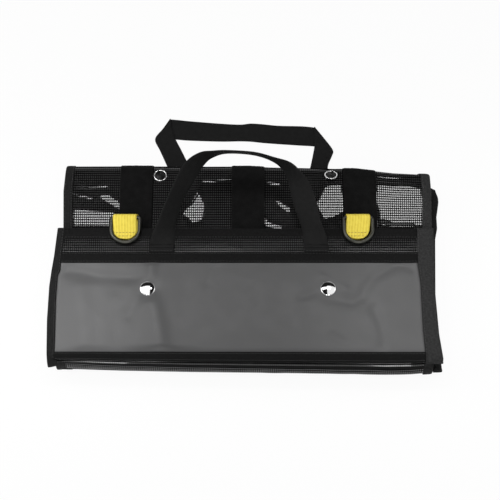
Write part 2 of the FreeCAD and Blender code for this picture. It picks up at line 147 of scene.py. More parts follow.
class Fold:
    """Half-round crease along X with a flat run above it and one below it."""

    def __init__(self, y, low, high, side, press, slide):
        self.y = y
        self.radius = (high - low) / 2
        self.z = (high + low) / 2
        self.side = side
        self.press = press
        self.slide = slide

    def at(self, s, lift, x=0.0):
        """Place along the bag and height of a point on the sheet, lifted off its outside."""
        half_turn = math.pi * self.radius
        reach = self.radius + lift
        off = max(s, -half_turn - s, 0.0)
        middle_y = self.y + on_line(self.slide, x) * (1 - ease(off / SLIDE_REACH))
        if s >= 0:
            return middle_y - self.side * s, self.z + reach
        if s <= -half_turn:
            return middle_y - self.side * (-s - half_turn), self.z - reach
        turn = -s / self.radius
        out = reach * math.sin(turn) - self.radius * on_line(self.press, x) / MM * math.sin(turn) ** 2
        return middle_y + self.side * out, self.z + reach * math.cos(turn)

    def along(self, angle):
        """Distance along the sheet of an angle from the top of the crease, in degrees."""
        return -math.radians(angle) * self.radius


BOTTOM_RADIUS = (FRONT_Z - BACK_Z) / 2
TOP_RADIUS = (FLAP_Z - BACK_Z) / 2
BOTTOM = Fold(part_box("bottom_spine")[0].y + BOTTOM_RADIUS + SHEET / 2, BACK_Z, FRONT_Z, -1,
              BOTTOM_PRESS, BOTTOM_SLIDE)
TOP = Fold(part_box("top_fold")[1].y - TOP_RADIUS - SHEET / 2, BACK_Z, FLAP_Z, 1, TOP_PRESS, TOP_SLIDE)
FRONT_HEIGHT = HEM_HIGH.y - BOTTOM.y
POCKET_TOP = POCKET_HIGH.y - BOTTOM.y
FLAP_LENGTH = TOP.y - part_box("top_flap_edge_binding")[0].y

# ---- mesh building


def add_mesh(name, points, faces, coordinates):
    """Smooth mesh with its cloth coordinates, one pair per point."""
    mesh = bpy.data.meshes.new(name)
    mesh.from_pydata([tuple(point) for point in points], [], faces)
    layer = mesh.uv_layers.new(name="cloth")
    for loop in mesh.loops:
        layer.data[loop.index].uv = coordinates[loop.vertex_index]
    mesh.polygons.foreach_set("use_smooth", [True] * len(mesh.polygons))
    mesh.update()
    piece = bpy.data.objects.new(name, mesh)
    bpy.context.scene.collection.objects.link(piece)
    return piece


def dress(piece, look, body=None, *replaces):
    """Material, body and stand-in of a piece."""
    slot, material = LOOKS[look]
    piece.data.materials.append(material)
    if body:
        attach(piece, body)
    if replaces:
        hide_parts(*replaces)
    return piece


def flat(x, s):
    """No waves."""
    return 0.0


def count_over(length, step):
    """Number of places along a length, no further apart than a step."""
    return max(2, math.ceil(length / step) + 1)


def divide(run, count):
    """Even places from one end of a run to the other."""
    return [run[0] + (run[1] - run[0]) * place / (count - 1) for place in range(count)]


def spread(run, step):
    """Even places along a run, no further apart than a step."""
    return divide(run, count_over(run[1] - run[0], step))


def on_sheet(fold, x, s, lift, wave=flat):
    """Point on a sheet, lifted off its outside."""
    y, z = fold.at(s, lift + wave(x, s), x)
    return Vector((x, y, z))


def row_across(fold, x, s, lift):
    """Points on a sheet in a row along x."""
    return [on_sheet(fold, here, s, lift) for here in spread(x, 4 * MM)]


def closed_grid(rows, columns):
    """Faces of a thick grid: the upper side, the lower side and the rim."""
    below = rows * columns
    faces = []
    for row in range(rows - 1):
        for column in range(columns - 1):
            a = row * columns + column
            quad = (a, a + 1, a + columns + 1, a + columns)
            faces.append(quad)
            faces.append(tuple(corner + below for corner in reversed(quad)))
    rim = list(range(columns))
    rim += [row * columns + columns - 1 for row in range(1, rows)]
    rim += [(rows - 1) * columns + column for column in range(columns - 2, -1, -1)]
    rim += [row * columns for row in range(rows - 2, 0, -1)]
    for here, following in zip(rim, rim[1:] + rim[:1]):
        faces.append((following, here, here + below, following + below))
    return faces


def sheet(name, fold, edges, run, lift, thick, step, wave=flat):
    """Closed sheet along a fold; edges gives its sides at a distance s, wave lifts its surface."""
    rows = spread(run, step)
    columns = count_over(max(abs(edges(s)[1] - edges(s)[0]) for s in run), step)
    points, coordinates = [], []
    for side_lift in (lift + thick, lift):
        for s in rows:
            places = divide(edges(s), columns)
            points += [on_sheet(fold, x, s, side_lift, wave) for x in places]
            coordinates += [(x, s) for x in places]
    faces = closed_grid(len(rows), columns)
    if fold.side > 0:
        faces = [tuple(reversed(face)) for face in faces]
    return add_mesh(name, points, faces, coordinates)


def tube_faces(rows, size, closed=False, base=0):
    """Faces of a tube through alike rings of points, capped unless it is closed."""
    faces = []
    for row in range(rows if closed else rows - 1):
        here, ahead = base + row * size, base + (row + 1) % rows * size
        for corner in range(size):
            following = (corner + 1) % size
            faces.append((here + corner, here + following, ahead + following, ahead + corner))
    if not closed:
        faces.append(tuple(base + corner for corner in reversed(range(size))))
        faces.append(tuple(base + (rows - 1) * size + corner for corner in range(size)))
    return faces


def swept(name, rings, coordinates, closed=False):
    """Tube through alike rings of points."""
    points = [point for ring in rings for point in ring]
    return add_mesh(name, points, tube_faces(len(rings), len(rings[0]), closed), coordinates)


def binding_profile(width):
    """Folded tape round an edge: distance in from the edge, and lift."""
    half = HALF_BINDING
    crown = half * 1.08
    bend = [(half * (1 - math.sin(turn)), half * math.cos(turn))
            for turn in (math.pi * step / 8 for step in range(1, 8))]
    upper = [(width, half * 0.55), (width - 0.3 * MM, half), (width * 0.6, crown), (width * 0.3, crown)]
    lower = [(across, -lift) for across, lift in reversed(upper)]
    return upper + bend + lower


def binding(name, places, width, spot):
    """Tape folded round an edge; width is a function of a place, spot of a place, distance in and lift."""
    rings, coordinates = [], []
    for place in places:
        profile = binding_profile(width(place))
        rings.append([spot(place, across, lift) for across, lift in profile])
        coordinates += [(across if lift > 0 else -across, place) for across, lift in profile]
    return swept(name, rings, coordinates)


def side_binding(name, fold, side, outer, inner, run, wave=flat, step=2.5 * MM):
    """Folded tape along one side of a sheet, from its outer edge to its inner edge."""
    def spot(s, across, lift):
        return on_sheet(fold, outer(s)[side] + (-across if side else across), s, lift, wave)

    return binding(name, spread(run, step), lambda s: abs(inner(s)[side] - outer(s)[side]), spot)


def end_binding(name, fold, x, end, width):
    """Folded tape along the free end of a sheet."""
    def spot(here, across, lift):
        return on_sheet(fold, here, end - across, lift)

    return binding(name, spread(x, 4 * MM), lambda here: width, spot)


def smooth_steps(keys, steps):
    """Catmull-Rom points through lists of numbers."""
    made = []
    for place in range(len(keys) - 1):
        before = keys[max(place - 1, 0)]
        here, after = keys[place], keys[place + 1]
        beyond = keys[min(place + 2, len(keys) - 1)]
        for step in range(steps):
            t = step / steps
            made.append([0.5 * (2 * b + (c - a) * t + (2 * a - 5 * b + 4 * c - d) * t * t
                                + (3 * b - a - 3 * c + d) * t ** 3)
                         for a, b, c, d in zip(before, here, after, beyond)])
    made.append(list(keys[-1]))
    return made


def webbing(name, pairs, thick):
    """Woven strap through pairs of edge points, with soft edges."""
    middles = [(a + b) / 2 for a, b in pairs]
    shares = [-1.0, -0.965, -0.7, -0.35, 0.0, 0.35, 0.7, 0.965, 1.0]
    heights = [0.35, 1.0, 1.0, 1.06, 1.08, 1.06, 1.0, 1.0, 0.35]
    rings, coordinates, travelled = [], [], 0.0
    for place, (a, b) in enumerate(pairs):
        ahead = middles[min(place + 1, len(pairs) - 1)]
        behind = middles[max(place - 1, 0)]
        travelled += (middles[place] - middles[max(place - 1, 0)]).length
        half = (b - a) / 2
        normal = half.cross(ahead - behind).normalized() * (thick / 2)
        upper = [middles[place] + half * share + normal * height for share, height in zip(shares, heights)]
        lower = [middles[place] + half * share - normal * height for share, height in zip(shares, heights)]
        rings.append(upper + lower[::-1])
        places = [(share * half.length, travelled) for share in shares]
        coordinates += places + places[::-1]
    return swept(name, rings, coordinates)


def lathe(name, profile, centre, segments, closed=False):
    """Turned piece about a vertical line; profile is radius and height, closed if it stays off the line."""
    places = [[(r, math.tau * step / segments, z) for step in range(segments)] for r, z in profile]
    if closed:
        places = list(zip(*places))
    rings = [[centre + Vector((r * math.cos(turn), r * math.sin(turn), z)) for r, turn, z in row]
             for row in places]
    return swept(name, rings, [(r, turn * 0.01) for row in places for r, turn, z in row], closed)


def wire_loop(name, path, radius, sides=20):
    """Round wire along a closed path."""
    turns = [math.tau * side / sides for side in range(sides)]
    rings, coordinates, travelled = [], [], 0.0
    up = Vector((0, 0, 1))
    for place, point in enumerate(path):
        behind = path[place - 1]
        travelled += (point - behind).length if place else 0.0
        way = (path[(place + 1) % len(path)] - behind).normalized()
        outward = way.cross(up).normalized()
        above = outward.cross(way)
        rings.append([point + (outward * math.cos(turn) + above * math.sin(turn)) * radius for turn in turns])
        coordinates += [(side * 0.001, travelled) for side in range(sides)]
    return swept(name, rings, coordinates, True)


def point_along(row, lengths, want):
    """Point at a distance along a row of points."""
    walked = 0.0
    for start, stop, span in zip(row, row[1:], lengths):
        if walked + span >= want or stop is row[-1]:
            return start + (stop - start) * ((want - walked) / span)
        walked += span


def stitches(name, rows, body, look="black_thread", radius=0.24 * MM):
    """Rows of thread sewn to a body: each row is a list of points on a surface."""
    points, faces, coordinates = [], [], []
    for row in rows:
        lengths = [(b - a).length for a, b in zip(row, row[1:])]
        total = sum(lengths)
        count = max(1, int(total / (STITCH + STITCH_GAP)))
        for number in range(count):
            start, stop = [point_along(row, lengths, (number + share) / count * total)
                           for share in (0.12, 0.86)]
            way = (stop - start).normalized()
            side = way.cross(Vector((0.1, 0.1, 1))).normalized()
            above = side.cross(way)
            faces += tube_faces(4, THREAD_SIDES, False, len(points))
            for share, swell in ((0, 0.35), (0.2, 1), (0.8, 1), (1, 0.35)):
                spot = start.lerp(stop, share)
                for corner in range(THREAD_SIDES):
                    angle = math.tau * corner / THREAD_SIDES
                    points.append(spot + (side * math.cos(angle) + above * math.sin(angle)) * radius * swell)
                    coordinates.append((share * STITCH, angle * radius))
    return dress(add_mesh(name, points, faces, coordinates), look, body)


def side_stitches(name, fold, side, edges, run, body, lift=HALF_BINDING + 0.06 * MM):
    """Row of thread along one side of a sheet."""
    row = [on_sheet(fold, edges(s)[side], s, lift) for s in spread(run, 3 * MM)]
    return stitches(name, [row], body)

# ---- materials


class Nodes:
    """Short calls for the nodes of a tree."""

    def __init__(self, tree):
        self.tree = tree

    def feed(self, socket, value):
        """A link from another node, or the socket's own value."""
        if isinstance(value, bpy.types.NodeSocket):
            self.tree.links.new(value, socket)
        else:
            socket.default_value = value

    def node(self, kind, settings=None, **inputs):
        """New node; an underscore in an input's name stands for a space."""
        made = self.tree.nodes.new("ShaderNode" + kind)
        for key, value in (settings or {}).items():
            setattr(made, key, value)
        for key, value in inputs.items():
            self.feed(made.inputs[key.replace("_", " ")], value)
        return made

    def fed(self, made, values, places=(0, 1, 2)):
        """Node with its inputs fed by number."""
        for place, value in zip(places, values):
            self.feed(made.inputs[place], value)
        return made

    def math(self, operation, *values):
        return self.fed(self.node("Math", {"operation": operation}), values).outputs[0]

    def span(self, value, low, high, start=0.0, end=1.0):
        """Value moved from one range to another, eased."""
        made = self.node("MapRange", {"interpolation_type": "SMOOTHSTEP"}, Value=value, From_Min=low,
                         From_Max=high, To_Min=start, To_Max=end)
        return made.outputs[0]

    def mix(self, share, first, second):
        """Number between two numbers."""
        return self.fed(self.node("Mix"), (share, first, second), (0, 2, 3)).outputs[0]

    def blend(self, share, first, second):
        """Colour between two colours."""
        made = self.node("Mix", {"data_type": "RGBA"})
        return self.fed(made, (share, first, second), (0, 6, 7)).outputs[2]


class Graph(Nodes):
    """Material laid out by the cloth coordinates; the constants go on its shader's own sockets."""

    def __init__(self, name, **constants):
        self.material = bpy.data.materials.new(name)
        self.material.use_nodes = True
        super().__init__(self.material.node_tree)
        self.shader = self.tree.nodes["Principled BSDF"]
        self.set(**constants)
        self.cloth = self.node("UVMap", {"uv_map": "cloth"}).outputs[0]
        split = self.node("SeparateXYZ", Vector=self.cloth)
        self.x, self.s = split.outputs[0], split.outputs[1]

    def set(self, **inputs):
        """Inputs of the shader."""
        for key, value in inputs.items():
            self.feed(self.shader.inputs[key.replace("_", " ")], value)

    def lines(self, value, pitch, width, soft):
        """One on lines at a pitch, of a half width, falling to nothing over soft."""
        near = self.math("PINGPONG", self.math("DIVIDE", value, pitch), 0.5)
        return self.span(near, width, width + soft, 1.0, 0.0)

    def clouds(self, scale, detail=3.0, rough=0.5):
        """Soft noise."""
        made = self.node("TexNoise", Vector=self.cloth, Scale=scale, Detail=detail, Roughness=rough)
        return made.outputs[0]

    def bump(self, height, distance, strength):
        """Relief of the surface."""
        self.set(Normal=self.node("Bump", Height=height, Distance=distance, Strength=strength).outputs[0])


def grey(value):
    """Neutral colour."""
    return (value, value, value, 1.0)


def darker(colour, share):
    """Colour at a share of its brightness."""
    return tuple(share * c for c in colour[:3]) + (1.0,)


MESH_PITCH = (2.1 * MM, 2.8 * MM)


def scrim(g, half_widths, soft):
    """Grid of threads of two half widths, as shares of their pitch."""
    return g.math("MAXIMUM", g.lines(g.x, MESH_PITCH[0], half_widths[0], soft),
                  g.lines(g.s, MESH_PITCH[1], half_widths[1], soft))


def mesh_vinyl():
    """Clear vinyl laid over a black scrim: matt black threads, glossy cells."""
    g = Graph("mesh_vinyl")
    threads = scrim(g, (0.16, 0.20), 0.07)
    cell_colour = g.blend(g.clouds(900.0), grey(0.016), grey(0.050))
    g.set(Base_Color=g.blend(threads, cell_colour, grey(0.001)),
          Roughness=g.span(threads, 0.0, 1.0, 0.06, 0.7),
          Specular_IOR_Level=g.span(threads, 0.0, 1.0, 0.9, 0.02))
    cords = scrim(g, (0.05, 0.08), 0.10)
    g.bump(g.math("ADD", cords, g.math("MULTIPLY", g.clouds(70.0), 0.12)), 0.04 * MM, 0.4)
    return g.material


def grey_vinyl():
    """Semi-gloss grey vinyl with a fine pressed grain."""
    g = Graph("grey_vinyl", Specular_IOR_Level=0.35)
    tone = g.math("MULTIPLY", g.clouds(14.0, 4.0), 0.25)
    # painted light: the vinyl's colour is made lighter towards its left end and, less, towards its right end,
    # for the light that falls there; the middle stays darker
    wear_and_painted_light = g.math("ADD", g.span(g.x, -0.17, -0.07, 0.75, 0.0), g.span(g.x, 0.05, 0.15, 0.0, 0.35))
    g.set(Base_Color=g.blend(g.math("ADD", tone, wear_and_painted_light), (0.067, 0.067, 0.068, 1), (0.105, 0.105, 0.106, 1)),
          Roughness=g.span(g.clouds(60.0), 0.3, 0.7, 0.40, 0.46))
    grain = g.node("TexVoronoi", {"feature": "SMOOTH_F1"}, Vector=g.cloth, Scale=1500.0).outputs[0]
    g.bump(grain, 0.04 * MM, 0.3)
    return g.material


def tape_black(name, dark, light):
    """Grosgrain binding: ribs across the tape, a worn fold."""
    g = Graph(name, Specular_IOR_Level=0.12)
    ribs = g.lines(g.s, 0.75 * MM, 0.12, 0.3)
    wear = g.clouds(420.0, 4.0, 0.65)
    wear_and_painted_light = g.span(wear, 0.15, 0.85)
    g.set(Base_Color=g.blend(wear_and_painted_light, grey(dark), g.blend(ribs, grey(light), grey(dark))), Roughness=0.75)
    g.bump(g.math("ADD", g.math("MULTIPLY", ribs, -1.0), g.math("MULTIPLY", wear, 0.6)), 0.12 * MM, 0.6)
    return g.material


def strap_web(name, dark, light, pitch):
    """Woven strap: ribs along it, fine picks across it."""
    g = Graph(name, Specular_IOR_Level=0.12)
    ribs = g.lines(g.x, pitch, 0.1, 0.34)
    picks = g.lines(g.s, 0.6 * MM, 0.14, 0.3)
    weave = g.math("MAXIMUM", ribs, g.math("MULTIPLY", picks, 0.55))
    tone = g.math("MULTIPLY", weave, g.span(g.clouds(220.0), 0.25, 0.75, 0.5, 1.0))
    g.set(Base_Color=g.blend(tone, light, dark), Roughness=0.7)
    g.bump(g.math("MULTIPLY", weave, -1.0), 0.22 * MM, 0.6)
    return g.material


def loop_pile():
    """Brushed loop tape, near black, with a soft nap."""
    g = Graph("loop_pile", Specular_IOR_Level=0.05, Sheen_Weight=0.02, Sheen_Roughness=0.6)
    nap = g.clouds(1300.0, 5.0, 0.7)
    patch = g.clouds(120.0)
    g.set(Base_Color=g.blend(g.math("MULTIPLY", nap, patch), grey(0.002), grey(0.018)), Roughness=0.95)
    g.bump(nap, 0.5 * MM, 0.9)
    return g.material


def hook_nylon():
    """Hook tape: rows of small hooks on a woven ground."""
    g = Graph("hook_nylon", Specular_IOR_Level=0.5)
    hooks = g.math("MULTIPLY", g.lines(g.x, 1.3 * MM, 0.16, 0.12), g.lines(g.s, 1.1 * MM, 0.16, 0.12))
    g.set(Base_Color=g.blend(hooks, grey(0.010), grey(0.035)), Roughness=g.span(hooks, 0.0, 1.0, 0.7, 0.35))
    g.bump(hooks, 0.5 * MM, 0.8)
    return g.material


def metal(name, colour, low, high):
    """Plated metal with faint wipe marks."""
    g = Graph(name, Metallic=1.0)
    marks = g.clouds(420.0, 5.0, 0.6)
    g.set(Base_Color=g.blend(marks, colour, darker(colour, 0.86)),
          Roughness=g.span(marks, 0.3, 0.7, low, high))
    g.bump(marks, 0.01 * MM, 0.2)
    return g.material


def thread(name, colour):
    """Twisted sewing thread."""
    g = Graph(name, Sheen_Weight=0.2)
    twist = g.lines(g.math("ADD", g.x, g.s), 0.35 * MM, 0.15, 0.3)
    g.set(Base_Color=g.blend(twist, colour, darker(colour, 0.6)), Roughness=0.6)
    g.bump(twist, 0.05 * MM, 0.5)
    return g.material


# record slot and material of each look
LOOKS = {
    "mesh": ("mesh", mesh_vinyl()),
    "vinyl": ("grey_vinyl", grey_vinyl()),
    "tape": ("binding", tape_black("binding_tape", 0.005, 0.034)),
    "hem": ("binding", tape_black("hem_tape", 0.002, 0.015)),
    # painted light: a lighter copy of the binding tape for the right sides, which the light from the right falls
    # on
    "sidelit_tape": ("binding", tape_black("sidelit_binding_tape", 0.014, 0.072)),
    "webbing": ("webbing", strap_web("black_webbing", grey(0.006), grey(0.014), 1.1 * MM)),
    "yellow": ("yellow_webbing",
               strap_web("yellow_webbing", (0.67, 0.51, 0.056, 1), (0.85, 0.71, 0.113, 1), 2.9 * MM)),
    "pile": ("loop_pile", loop_pile()),
    "hooks": ("hook_tape", hook_nylon()),
    "chrome": ("chrome", metal("chrome", grey(0.90), 0.04, 0.09)),
    "gunmetal": ("dark_metal", metal("gunmetal", (0.075, 0.075, 0.065, 1), 0.30, 0.42)),
    "socket_dark": ("dark_metal", metal("socket_dark", grey(0.03), 0.35, 0.5)),
    "black_thread": ("webbing", thread("black_thread", grey(0.012))),
    "tan_thread": ("webbing", thread("tan_thread", (0.50, 0.34, 0.06, 1))),
}

# ---- shapes of the sheets

# sides of the front panel: height above its crease, and x, in millimetres
FRONT_LEFT = ((-30, -198.4), (-2, -199.2), (30, -200.4), (67, -200.0), (84, -198.6), (100, -196.8),
              (131, -194.6))
FRONT_RIGHT = ((-30, 190.8), (-16, 191.4), (-6, 190.4), (19, 187.0), (51, 186.2), (73, 185.8), (131, 187.4))
GREY_LEFT = ((-16, -191.0), (0, -191.0), (51, -192.2), (78, -191.6), (84, -189.2), (92, -189.2),
             (131, -187.0))
GREY_RIGHT = ((-16, 173.4), (0, 173.0), (19, 171.9), (70, 171.6), (92, 169.4), (131, 170.1))
# sides of the top flap: distance below its crease, and x
FLAP_LEFT = ((-16, -189.6), (-6, -189.8), (20, -191.2), (64, -189.2), (94, -188.8))
FLAP_RIGHT = ((-16, 181.5), (-10, 184.8), (-4, 187.0), (8, 187.4), (17, 187.6), (64, 186.2), (94, 186.2))
# sides of the back panel: distance below the top crease on its outside, and x
BACK_LEFT = ((-260, -184.0), (-62, -186.5), (-46, -188.8), (-16, -189.6))
BACK_RIGHT = ((-260, 192.5), (-240, 195.0), (-214, 192.0), (-170, 190.2), (-108, 192.8), (-95, 195.4),
              (-80, 195.3), (-70, 196.8), (-60, 198.2), (-54, 198.0), (-50, 196.6), (-45, 195.4),
              (-41, 189.5), (-37, 183.5), (-28, 180.5), (-16, 181.5), (-10, 184.8))
LIP_LEFT = ((-80, -185.0), (0, -185.0))
LIP_RIGHT = ((-80, 192.5), (0, 192.5))


def between(left, right):
    """Sides of a sheet at a distance s, from two lines of points."""
    return lambda s: (on_line(left, s), on_line(right, s))


front_edges = between(FRONT_LEFT, FRONT_RIGHT)
grey_edges = between(GREY_LEFT, GREY_RIGHT)
flap_edges = between(FLAP_LEFT, FLAP_RIGHT)
back_edges = between(BACK_LEFT, BACK_RIGHT)
lip_edges = between(LIP_LEFT, LIP_RIGHT)


def constant(x0, x1):
    """Straight sides of a sheet."""
    return lambda s: (x0, x1)


def inside(edges, margin):
    """Sides that lie in from the sides of a sheet."""
    return lambda s: (edges(s)[0] + margin, edges(s)[1] - margin)


# soft folds: width, height, then points (x, s), in millimetres
POCKET_FOLDS = (
    (7.0, -1.65, ((-192, 86), (-175, 82), (-150, 77), (-112, 75))),
    (6.0, 1.6, ((-98, 90), (-99, 71))),
    (7.0, -1.3, ((-109, 56), (-116, 42), (-120, 34))),
    (30.0, 2.6, ((-101, 42), (-92, -2))),
    (9.0, 1.98, ((-98, 52), (-92, 31), (-87, -2))),
    (8.0, 0.88, ((-136, 51), (-143, 2))),
    (14.0, 2.6, ((-171, 62), (-162, 2))),
    (5.0, -0.55, ((-36, 88), (-42, 70))),
    (6.0, -1.1, ((79, 56), (91, 51), (103, 49), (112, 54), (117, 65), (126, 77), (144, 88))),
    (4.0, 0.66, ((73, 77), (97, 62))),
    (5.0, -0.99, ((124, 42), (130, 27), (133, 12), (132, -4))),
    (5.0, -0.77, ((53, 55), (69, 61))),
    (5.0, -0.99, ((148, 93), (164, 86))),
    (3.5, -0.55, ((82, 14), (94, 6))),
)


def distance_to(x, s, line):
    """Distance from a point to a line of points, in millimetres."""
    best = 1e9
    for (ax, ay), (bx, by) in zip(line, line[1:]):
        dx, dy = bx - ax, by - ay
        share = min(1.0, max(0.0, ((x - ax) * dx + (s - ay) * dy) / (dx * dx + dy * dy)))
        best = min(best, math.hypot(x - ax - dx * share, s - ay - dy * share))
    return best


def folds(x, s, lines):
    """Height of a set of soft folds, in millimetres."""
    height = 0.0
    for width, rise, line in lines:
        gap = distance_to(x, s, line)
        if gap < 3 * width:
            height += rise * math.exp(-(gap / width) ** 2)
    return height


# what holds the pocket's vinyl down, in millimetres: width of the mouth tape, reach of a cap, of the sides
# and of the foot into the slack, and of the seams into the folds
MOUTH_TAPE = 9
CAP_HOLD = 11.0
SLACK_REACH = 26
FOOT_REACH = 30
FOLD_REACH = 6
CAPS = [(middle("snap_cap_" + word).x / MM, (middle("snap_cap_" + word).y - BOTTOM.y) / MM)
        for word in SIDES]


def ripple(x, s, across, along, layer):
    """Slow noise over a sheet, from places and lengths in millimetres."""
    return noise.noise(Vector((x / across, s / along, layer)))


def clear_of_sides(x, sides, reach):
    """Nothing at a sheet's sides, one from a reach in millimetres inside them."""
    return ease((x - sides[0]) / (reach * MM)) * ease((sides[1] - x) / (reach * MM))


def pocket_wave(x, s):
    """Vinyl of the pocket: slack between its seams, held down at the caps."""
    sides = grey_edges(s)
    mx, ms = x / MM, s / MM
    below_mouth = POCKET_TOP / MM - MOUTH_TAPE - ms
    margin = clear_of_sides(x, sides, SLACK_REACH)
    margin *= ease((ms + 8) / FOOT_REACH) * ease(below_mouth / SLACK_REACH)
    held = 1.0
    for cap_x, cap_s in CAPS:
        held *= 1 - math.exp(-(math.hypot(mx - cap_x, ms - cap_s) / CAP_HOLD) ** 2)
    slack = 0.6 + 0.35 * ripple(mx, ms, 60, 50, 3.0)
    slack += 0.08 * ripple(mx, ms, 16, 22, 8.0)
    seams = clear_of_sides(x, sides, FOLD_REACH) * ease(below_mouth / FOLD_REACH)
    return (slack * margin + folds(mx, ms, POCKET_FOLDS) * seams * ease((ms + 4) / FOLD_REACH)) * held * MM


# patches of the top flap that lean a few degrees: corners (x, s), in millimetres, in turn
FLAP_PATCHES = (
    ((-179, 40), (-160, 39), (-142, 42), (-109, 44), (-109, 63), (-178, 63)),
    ((-152, 22), (-144, 21.5), (-134, 32), (-131, 45), (-134, 46), (-146, 34), (-152, 26)),
    ((-52, 10), (-49, 22), (-46, 35), (-47, 57), (-60, 59), (-67, 48), (-66, 41), (-57, 24)),
    ((77, 12), (98, 11), (98, 46), (88, 52), (76, 56), (72, 45), (70, 32)),
    ((131, 8), (168, 8), (181, 12), (181, 63), (131, 63)),
)
FLAP_LEAN = 0.07
FLAP_FOLDS = (
    (2.0, -0.25, ((-176, 19), (-150, 18.2), (-146, 18))),
    (1.6, 0.3, ((-182, 21.5), (-174, 24), (-162, 27))),
    (2.0, -0.4, ((-47, 11), (-30, 11), (-14, 11))),
    (2.5, 0.5, ((-84, 52), (-80, 40), (-78, 30))),
    (2.0, 0.45, ((20, 9), (30, 10))),
    (2.0, 0.5, ((30, 30), (36, 36), (42, 40))),
    (2.0, 0.5, ((14, 48), (20, 56), (30, 60))),
    (2.0, -0.3, ((133, 4), (156, 4))),
    (2.5, -0.5, ((136, 57), (146, 61), (166, 61))),
)
# hollow under the right socket: x, half width and depth, in millimetres
SOCKET_HOLLOW = (84.7, 11.0, 2.6)


def inside_depth(x, s, corners):
    """How far a point lies inside a convex patch, in millimetres; negative outside."""
    depth = 1e9
    for (ax, ay), (bx, by) in zip(corners, corners[1:] + corners[:1]):
        span = math.hypot(bx - ax, by - ay)
        depth = min(depth, ((bx - ax) * (s - ay) - (by - ay) * (x - ax)) / span)
    return depth


def flap_wave(x, s):
    """Top flap: slack vinyl between its strips, in facets that lean a few degrees."""
    mx, ms = x / MM, s / MM
    height = folds(mx, ms, FLAP_FOLDS)
    for corners in FLAP_PATCHES:
        middle_s = sum(corner[1] for corner in corners) / len(corners)
        height -= FLAP_LEAN * (ms - middle_s) * ease((inside_depth(mx, ms, corners) + 2) / 4)
    height += 0.10 * ripple(mx, ms, 22, 22, 1.0) * ease((ms - 2) / 8)
    margin = clear_of_sides(x, flap_edges(s), 9)
    margin *= ease((74 - ms) / 6) * ease((ms + 14) / 12)
    across, spread_x, depth = SOCKET_HOLLOW
    height -= depth * math.exp(-((mx - across) / spread_x) ** 2) * ease((10 - ms) / 14)
    return height * margin * MM


def crease_wave(x, s):
    """Small waves where the front sheet turns under."""
    return 0.5 * MM * ripple(x / MM, s / MM, 26, 7, 5.0) * ease((-s / MM + 4) / 6)


def front_wave(x, s):
    """Front mesh: drawn flat by its seams above the pocket, and pressed in under the pocket's folds."""
    if s < POCKET_TOP:
        return min(0.0, pocket_wave(x, s) * 1.3)
    return 0.05 * MM * ripple(x / MM, s / MM, 60, 30, 2.0) * ease((s - POCKET_TOP) / (10 * MM))


def rolled_seam(x, s):
    """Left end of the front seam, where its lower edge stands proud."""
    return 0.22 * max(0.0, BOTTOM.along(SEAM_ANGLE - SEAM_REACH) - s) * ease((-x / MM - 100) / 25)

# ---- panels


# the right sides' tapes are a lighter copy of the binding tape: painted light, for the light that falls on the
# right
SIDE_TAPE = {"left": "tape", "right": "sidelit_tape"}


def mesh_panel(name, fold, edges, run, step, wave, body, *replaces):
    """Vinyl mesh inside its bindings' edges."""
    panel = sheet(name, fold, inside(edges, TAPE), run, -SHEET / 2, SHEET, step, wave)
    return dress(panel, "mesh", body, *replaces)


def build_back():
    """Back panel and top fold, one sheet from the spine's seam to the flap's seam."""
    run = (TOP.along(180) - (TOP.y - BOTTOM.y), TOP.along(SEAM_ANGLE))
    panel = mesh_panel("back_sheet", TOP, back_edges, run, 4 * MM, flat, "root", "back_panel", "top_fold")
    lip_run = (BOTTOM.along(180), BOTTOM.along(SPINE_ANGLE))
    trims = [mesh_panel("back_lip", BOTTOM, lip_edges, lip_run, 2.5 * MM, flat, "root")]
    width = width_of("back_binding_left")
    for side, word in enumerate(SIDES):
        tape = side_binding("back_edge_" + word, TOP, side, back_edges, inside(back_edges, width), run)
        dress(tape, "tape", "root", "back_binding_" + word, "top_fold_binding_" + word)
        low = side_binding("back_lip_edge_" + word, BOTTOM, side, lip_edges, inside(lip_edges, width),
                           lip_run)
        dress(low, "tape", "root")
        seam = side_stitches("back_stitches_" + word, TOP, side, inside(back_edges, width - 1.6 * MM), run,
                             "root", HALF_BINDING + 0.05 * MM)
        trims += [tape, low, seam]


def build_spine():
    """Strip between the back and the front panel."""
    run = (BOTTOM.along(SPINE_ANGLE), BOTTOM.along(SEAM_ANGLE))
    low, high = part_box("spine_binding_left")[0].x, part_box("spine_binding_right")[1].x
    edges = constant(low - 3 * MM, high + 1.5 * MM)
    panel = mesh_panel("spine_sheet", BOTTOM, edges, run, 2 * MM, crease_wave, "spine", "bottom_spine")
    width = width_of("spine_binding_left")
    for side, word in enumerate(SIDES):
        tape = side_binding("spine_edge_" + word, BOTTOM, side, edges, inside(edges, width), run)
        dress(tape, "tape", "spine", "spine_binding_" + word)
    ridge_run = [BOTTOM.along(angle) for angle in RIDGE_ANGLES]
    ridge = sheet("spine_seam", BOTTOM, inside(edges, 1 * MM), ridge_run, SHEET / 2, 0.7 * MM, 1.5 * MM,
                  crease_wave)
    dress(ridge, "hem", "spine")


def blend_by_height(piece, fold, run):
    """Bakes a piece's place into its mesh; the heights at the ends of a run along a fold are worked out but not
    used.
    """
    middle_y = fold.at(sum(run) / 2, 0)[0]
    low, high = [(0.0, middle_y, fold.at(s, 0)[1]) for s in run]
    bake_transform(piece)
    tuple(low)
    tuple(high)


def seam_strip(name, fold, angle, edges, wave=flat):
    """Sewn strip over the seam between two panels."""
    run = (fold.along(angle + SEAM_REACH), fold.along(angle - SEAM_REACH))
    strip = sheet(name, fold, edges, run, -SHEET, 2 * SHEET + 0.2 * MM, 1 * MM, wave)
    blend_by_height(dress(strip, "mesh"), fold, run)


